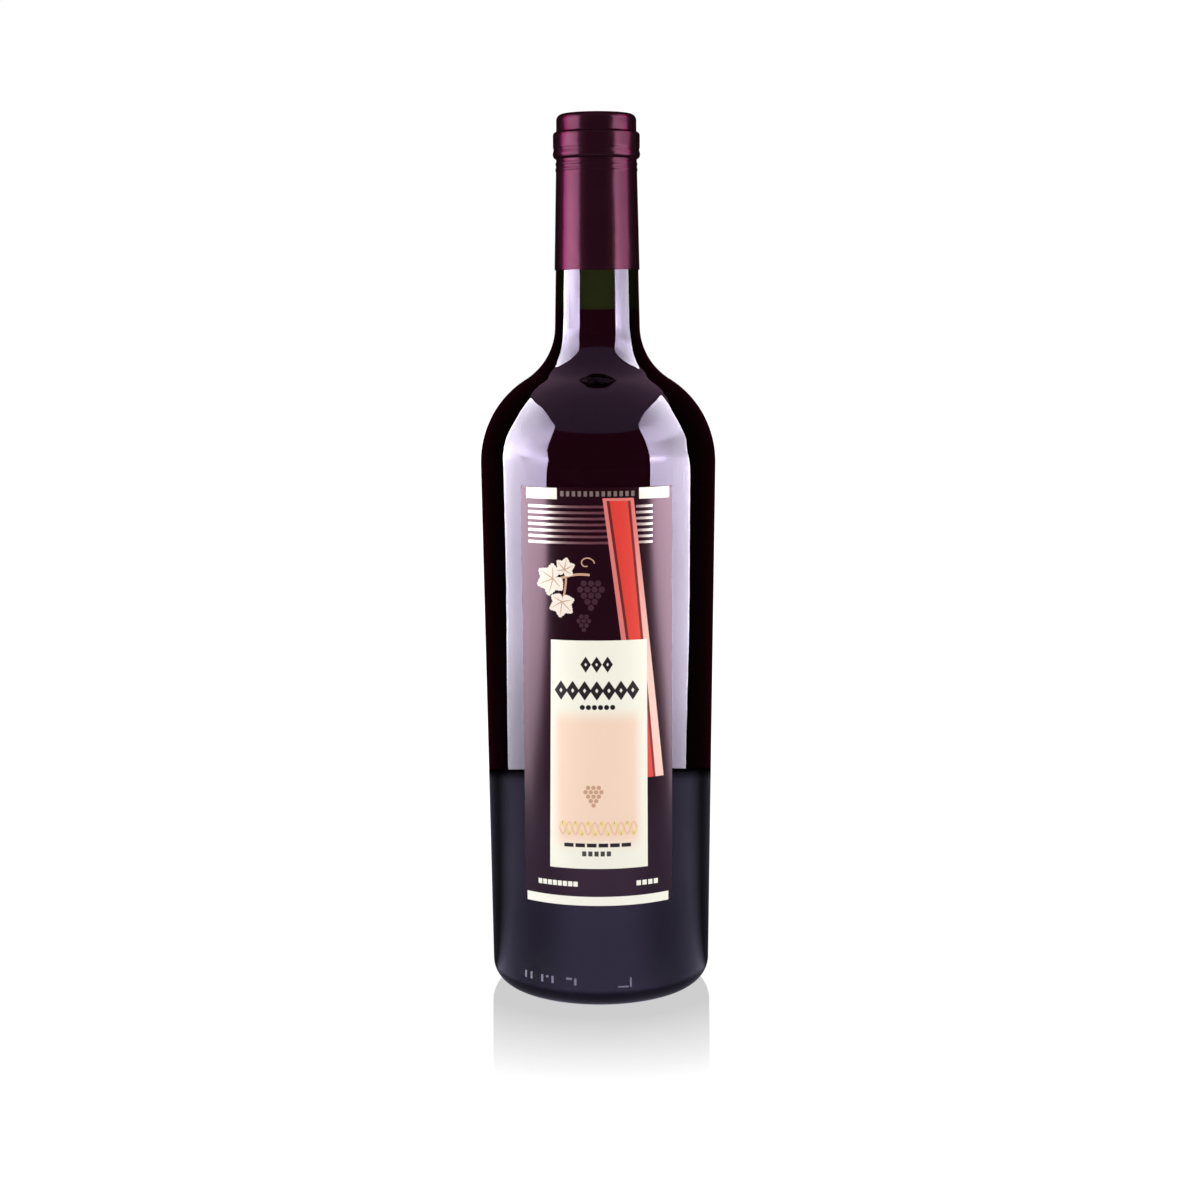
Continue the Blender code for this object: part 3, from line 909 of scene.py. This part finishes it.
def makeRoom():
    radius, height, half = studio["roomRadius"], studio["roomHeight"], studio["roomHalf"]
    points = []
    for step in range(81):  # open behind the bottle, where the table mirrors the white background
        turn = -half + 2 * half * step / 80
        points += [around(radius, turn, -0.5), around(radius, turn, height)]
    faces = [(a, a + 2, a + 3, a + 1) for a in range(0, len(points) - 2, 2)]
    paints = [makeGlow(name, studio["plumDark"], share) for name, share in studio["roomShares"]]
    screen = makeScreen("darkScreen", points, faces, *paints)
    for face in screen.data.polygons:
        face.material_index = int(face.center.y > studio["backStart"])
    start, width = studio["ceilingTurn"]
    edge = []
    for step in range(96):  # narrower behind the bottle
        turn = 360 * step / 96 - 180
        back = min(1.0, max(0.0, (abs(turn) - start) / width))
        reach = studio["ceilingRadius"] + (studio["ceilingBack"] - studio["ceilingRadius"]) * back
        edge.append(around(reach, turn, studio["ceilingHeight"]))
    makeScreen("dimCeiling", edge, [tuple(range(96))], makeGlow("ceilingPaint", studio["ceilingGlow"], 1.0))
    rim = [around(tableLook["litEdge"], 360 * step / 64, tableLook["litHeight"]) for step in range(64)]
    makeScreen("tableInReflections", rim, [tuple(range(64))], makeLitTable())


# The table: glossy white, seen by the camera, glowing round the bottle as painted light; and a lit disc just
# under it that only reflections see, which glows as a painted reflection of the table

tableLook = {
    "colour": "F4F4F6",
    "reach": 4.0,
    # painted light: the table glows most round the bottle, where its shadow would fall
    "glow": (studio["background"], 0.30),  # its own light, at the bottle and farther off
    "glowFade": (60 * mm, 200 * mm),
    "mirror": 0.41,  # how strongly it mirrors the foot
    "mirrorFade": (45 * mm, 110 * mm),  # away from the axis
    "mirrorFront": (5 * mm, 35 * mm),  # and not behind the bottle
    "mirrorAcross": (0.0, 52.0, 10.0),  # mm: middle, half width, soft edge
    "mirrorSlant": (0.30, 0.60),  # of Layer Weight, so only from a low angle
    "mirrorRoughness": 0.05,
    # painted reflection: a glowing disc that stands in for the lit table, with painted shade against the
    # bottle's foot and on its far side
    "litColour": (0.79, 0.75, 1.03),
    "litEdge": 345 * mm, "litHeight": -0.1 * mm,
    "litBehind": 30 * mm,
    # strengths that are multiplied: what is read, from and to, and the strength at both
    "litRamps": (("behind", 0.0, 0.66, 1.0, 0.06), ("away", 0.040, 0.050, 0.25, 1.0),
                 ("away", 0.10, 0.19, 0.95, 1.2), ("beside", 0.35, 0.9, 1.5, 0.72),
                 ("away", 0.315, 0.344, 1.0, 0.0)),
}


def readTable(tree):  # the parts of a place on the table, and how far it is from the axis
    place = addNode(tree, "ShaderNodeTexCoord").outputs["Object"]
    away = addNode(tree, "ShaderNodeVectorMath", links={0: place}, operation="LENGTH").outputs["Value"]
    return addNode(tree, "ShaderNodeSeparateXYZ", links={0: place}).outputs, away


# painted shade: the ramps dim this glowing disc against the foot and behind the bottle
def makeLitTable():  # dim against the bottle's foot, towards its edge, and on the far side
    made = makeGlow("litTable", tableLook["litColour"], 1.0)
    tree = made.node_tree
    parts, away = readTable(tree)
    past = addNode(tree, "ShaderNodeMath", {1: tableLook["litBehind"]}, {0: away}, operation="SUBTRACT")
    behind = addNode(tree, "ShaderNodeMath", links={0: parts["Y"], 1: past}, operation="DIVIDE")
    off = addNode(tree, "ShaderNodeMath", links={0: parts["X"]}, operation="ABSOLUTE")
    beside = addNode(tree, "ShaderNodeMath", links={0: off, 1: away}, operation="DIVIDE")
    readings = {"away": away, "behind": behind, "beside": beside}
    total = None
    for name, *ramp in tableLook["litRamps"]:
        share = addNode(tree, "ShaderNodeMapRange", span(*ramp), {"Value": readings[name]}, **smooth)
        if total:
            share = addNode(tree, "ShaderNodeMath", links={0: total, 1: share}, operation="MULTIPLY")
        total = share
    link(tree.nodes["Emission"], {"Strength": total})
    return made


def makeTable():  # white all over, and mirroring the bottle's foot in front of it at a low angle
    look, reach = tableLook, tableLook["reach"]
    corners = [(-reach, -reach, 0), (reach, -reach, 0), (reach, reach, 0), (-reach, reach, 0)]
    table = meshObject("paleTable", corners, faces=[(0, 1, 2, 3)])
    made, tree, shader = startMaterial("paleGlossTable", {
        "Roughness": 0.5, "Specular IOR Level": 0.0, "Emission Color": (1, 1, 1, 1)})
    parts, away = readTable(tree)
    # painted light: near the bottle it is painted black and glows instead, so the bottle casts no shadow on
    # it
    plain = addNode(tree, "ShaderNodeMapRange", span(*look["glowFade"]), {"Value": away}, **smooth)
    glow = addNode(tree, "ShaderNodeMapRange", span(0, 1, *look["glow"]), {"Value": plain})
    paint = addNode(tree, "ShaderNodeMix", {6: (0, 0, 0, 1), 7: look["colour"]}, {0: plain}, data_type="RGBA")
    link(shader, {"Emission Strength": glow, "Base Color": paint.outputs[2]})
    polish = addNode(tree, "ShaderNodeMapRange", span(*look["mirrorFade"], look["mirror"], 0),
                     {"Value": away})
    front = addNode(tree, "ShaderNodeMapRange", span(*look["mirrorFront"], 1, 0), {"Value": parts["Y"]},
                    **smooth)
    slant = addNode(tree, "ShaderNodeLayerWeight", {"Blend": 0.5}).outputs["Facing"]
    sheen = addNode(tree, "ShaderNodeMapRange", span(*look["mirrorSlant"]), {"Value": slant})
    share = polish
    for factor in (front, fadeFrom(tree, parts["X"], *look["mirrorAcross"]), sheen):
        share = addNode(tree, "ShaderNodeMath", links={0: share, 1: factor}, operation="MULTIPLY")
    mirror = addNode(tree, "ShaderNodeBsdfPrincipled", {
        "Base Color": (1, 1, 1, 1), "Metallic": 1.0, "Roughness": look["mirrorRoughness"]})
    both = addNode(tree, "ShaderNodeMixShader", links={0: share, 1: shader, 2: mirror})
    link(tree.nodes["Material Output"], {"Surface": both})
    table.data.materials.append(made)
    table.visible_glossy = False


# A dark sleeve round the foot, clear from inside, keeps the bright boxes out of the mirrored foot: a painted
# reflection, since the table's mirror shows the sleeve's faint dark glow in place of the foot

shadeLook = {
    "colour": (0.04, 0.036, 0.05),
    "play": 0.4 * mm,  # outside the glass
    "heelStart": -68,  # degrees on the heel's arc
    "top": 70 * mm,
    "sides": 96,
}


def makeFootShade():
    play, top, sides = shadeLook["play"], shadeLook["top"], shadeLook["sides"]
    outline = arc(heelCentre, form["heelRadius"] + play, radians(shadeLook["heelStart"]), wallLean, 8)
    outline.append((wallRadius(top) + play, top))
    turns = [360 * step / sides for step in range(sides)]
    points = [around(radius, turn, height) for radius, height in outline for turn in turns]
    faces = []
    for row in range(0, len(points) - sides, sides):
        for step in range(sides):
            a, b = row + step, row + (step + 1) % sides
            faces.append((a, b, b + sides, a + sides))
    # painted reflection: a faint dark glow, seen only from outside
    made = makeGlow("shadeCloth", shadeLook["colour"], 1.0)
    tree = made.node_tree
    clear = addNode(tree, "ShaderNodeBsdfTransparent")
    side = addNode(tree, "ShaderNodeNewGeometry").outputs["Backfacing"]
    both = addNode(tree, "ShaderNodeMixShader", links={0: side, 1: tree.nodes["Emission"], 2: clear})
    link(tree.nodes["Material Output"], {"Surface": both})
    makeScreen("footShade", points, faces, made)


def makeLight():
    world = bpy.data.worlds.new("evenLight")
    scene.world = world
    world.use_nodes = True
    setValues(world.node_tree.nodes["Background"], {"Color": (1, 1, 1, 1), "Strength": studio["background"]})
    lamp = bpy.data.lights.new("leftFill", "AREA")
    lamp.shape = "RECTANGLE"
    lamp.size, lamp.size_y = studio["fillSize"]
    lamp.energy = studio["fillPower"]
    fill = bpy.data.objects.new("leftFill", lamp)
    fill.location = around(*studio["fillPlace"])
    fill.rotation_euler = (Vector(studio["fillAim"]) - fill.location).to_track_quat("-Z", "Y").to_euler()
    fill.visible_glossy = False
    fill.visible_camera = False
    scene.collection.objects.link(fill)


def makeCamera():
    data = bpy.data.cameras.new("photoView")
    data.lens = studio["lens"]
    data.sensor_width = 36.0
    camera = bpy.data.objects.new("photoView", data)
    camera.location = (0, -studio["distance"], studio["eyeHeight"])
    yaw, pitch, roll = (radians(studio[name]) for name in ("yaw", "pitch", "roll"))
    view = Vector((sin(yaw), cos(yaw), -tan(pitch)))
    camera.rotation_mode = "QUATERNION"
    camera.rotation_quaternion = view.to_track_quat("-Z", "Y") @ Quaternion((0, 0, 1), roll)
    scene.collection.objects.link(camera)
    scene.camera = camera


makeSoftBox("leftSoftBox", studio["leftBox"], studio["leftPower"], studio["leftAcross"])
makeSoftBox("rightSoftBox", studio["rightBox"], studio["rightPower"], studio["rightAcross"])
makeRoom()
makeTable()
makeFootShade()
makeLight()
makeCamera()
print("studio set")
